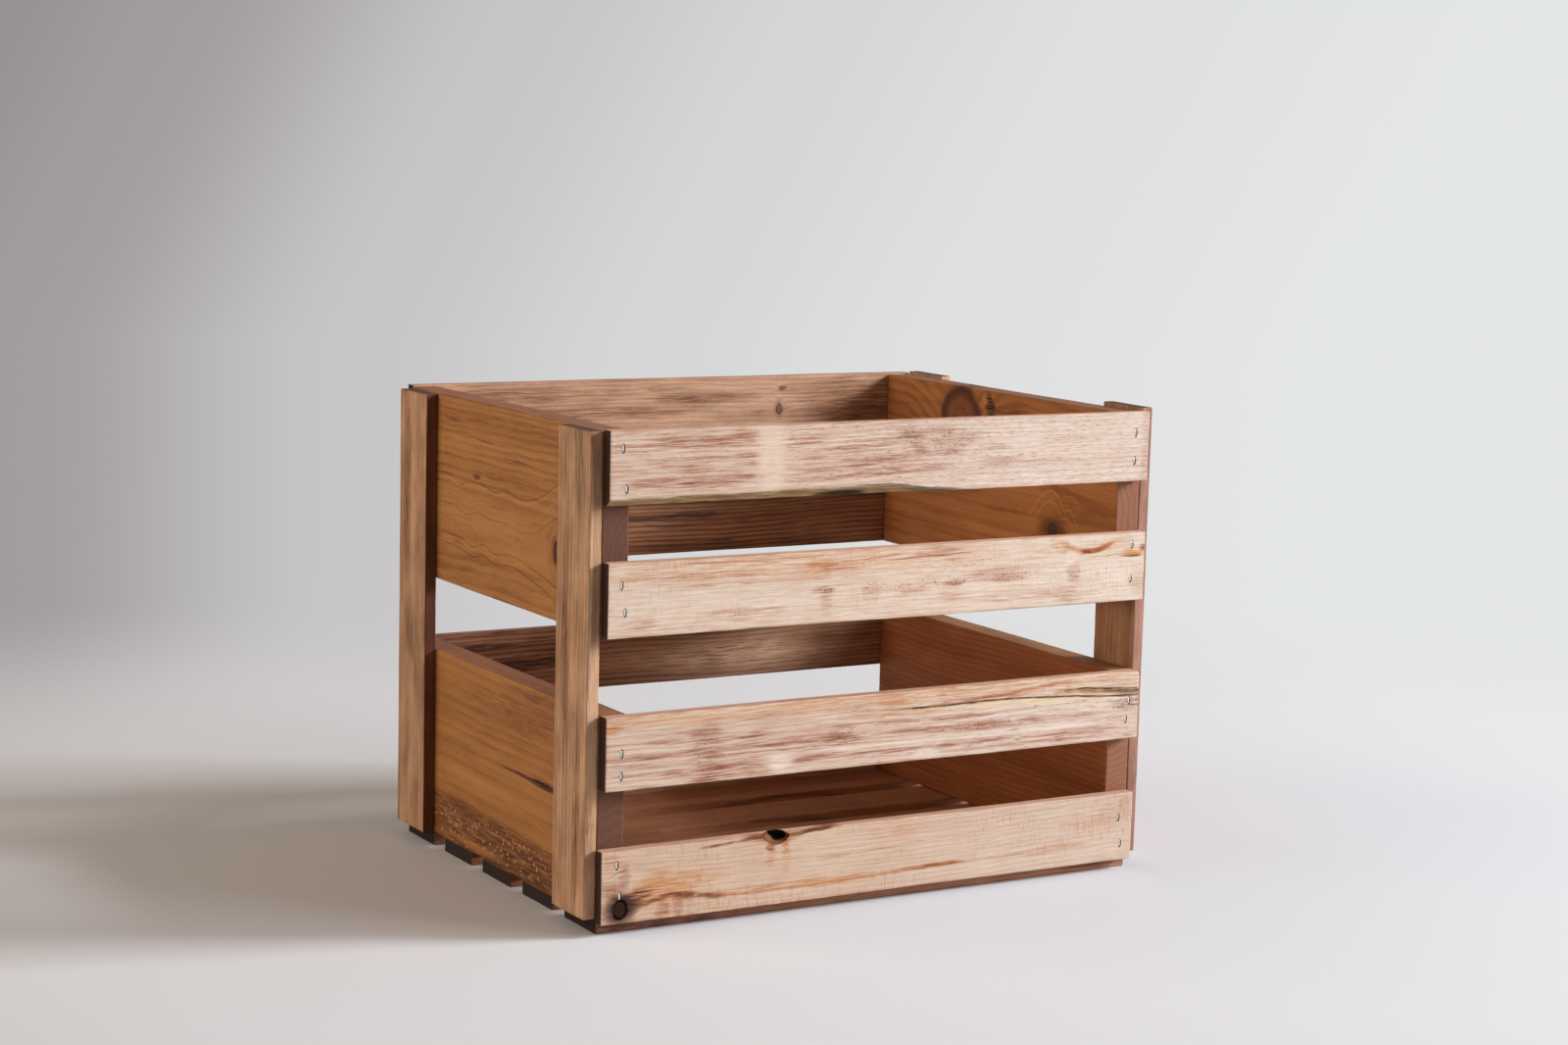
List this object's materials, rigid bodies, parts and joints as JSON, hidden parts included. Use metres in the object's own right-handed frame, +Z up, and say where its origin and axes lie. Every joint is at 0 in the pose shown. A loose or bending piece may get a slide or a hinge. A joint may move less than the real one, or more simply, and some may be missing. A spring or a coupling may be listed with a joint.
{
  "type": "wooden apple crate",
  "caption": "Open slatted wooden crate for picking, carrying and storing apples, with solid ends, hand gaps, corner posts and stapled joints.",
  "frame": {"origin": "middle of the underside", "axes": "+X along the crate to its right end, +Y to the rear, +Z up out of the open top"},
  "size_m": [0.4066, 0.2966, 0.3041],
  "materials": {
    "side_wood": "rough sawn, pale pinkish tan",
    "end_wood": "sawn, honey brown",
    "post_wood": "rough sawn, greyish brown",
    "bottom_wood": "rough sawn, reddish brown",
    "staple_steel": "bright wire"
  },
  "bodies": {
    "root": {"bottom_slat_1": "bottom_wood", "bottom_slat_2": "bottom_wood", "bottom_slat_3": "bottom_wood", "bottom_slat_4": "bottom_wood", "bottom_slat_5": "bottom_wood", "left_end_board_lower": "end_wood", "left_end_board_upper": "end_wood", "right_end_board_lower": "end_wood", "right_end_board_upper": "end_wood", "corner_post_front_left": "post_wood", "corner_post_front_right": "post_wood", "corner_post_rear_left": "post_wood", "corner_post_rear_right": "post_wood", "front_slat_lowest": "side_wood", "front_slat_second": "side_wood", "front_slat_third": "side_wood", "front_slat_top": "side_wood", "rear_slat_lowest": "side_wood", "rear_slat_second": "side_wood", "rear_slat_third": "side_wood", "rear_slat_top": "side_wood", "staple_front_lowest_left_1": "staple_steel", "staple_front_lowest_left_2": "staple_steel", "staple_front_lowest_right_1": "staple_steel", "staple_front_lowest_right_2": "staple_steel", "staple_front_second_left_1": "staple_steel", "staple_front_second_left_2": "staple_steel", "staple_front_second_right_1": "staple_steel", "staple_front_second_right_2": "staple_steel", "staple_front_third_left_1": "staple_steel", "staple_front_third_left_2": "staple_steel", "staple_front_third_right_1": "staple_steel", "staple_front_third_right_2": "staple_steel", "staple_front_top_left_1": "staple_steel", "staple_front_top_left_2": "staple_steel", "staple_front_top_right_1": "staple_steel", "staple_front_top_right_2": "staple_steel", "staple_rear_lowest_left_1": "staple_steel", "staple_rear_lowest_left_2": "staple_steel", "staple_rear_lowest_right_1": "staple_steel", "staple_rear_lowest_right_2": "staple_steel", "staple_rear_second_left_1": "staple_steel", "staple_rear_second_left_2": "staple_steel", "staple_rear_second_right_1": "staple_steel", "staple_rear_second_right_2": "staple_steel", "staple_rear_third_left_1": "staple_steel", "staple_rear_third_left_2": "staple_steel", "staple_rear_third_right_1": "staple_steel", "staple_rear_third_right_2": "staple_steel", "staple_rear_top_left_1": "staple_steel", "staple_rear_top_left_2": "staple_steel", "staple_rear_top_right_1": "staple_steel", "staple_rear_top_right_2": "staple_steel"}
  },
  "joints": []
}
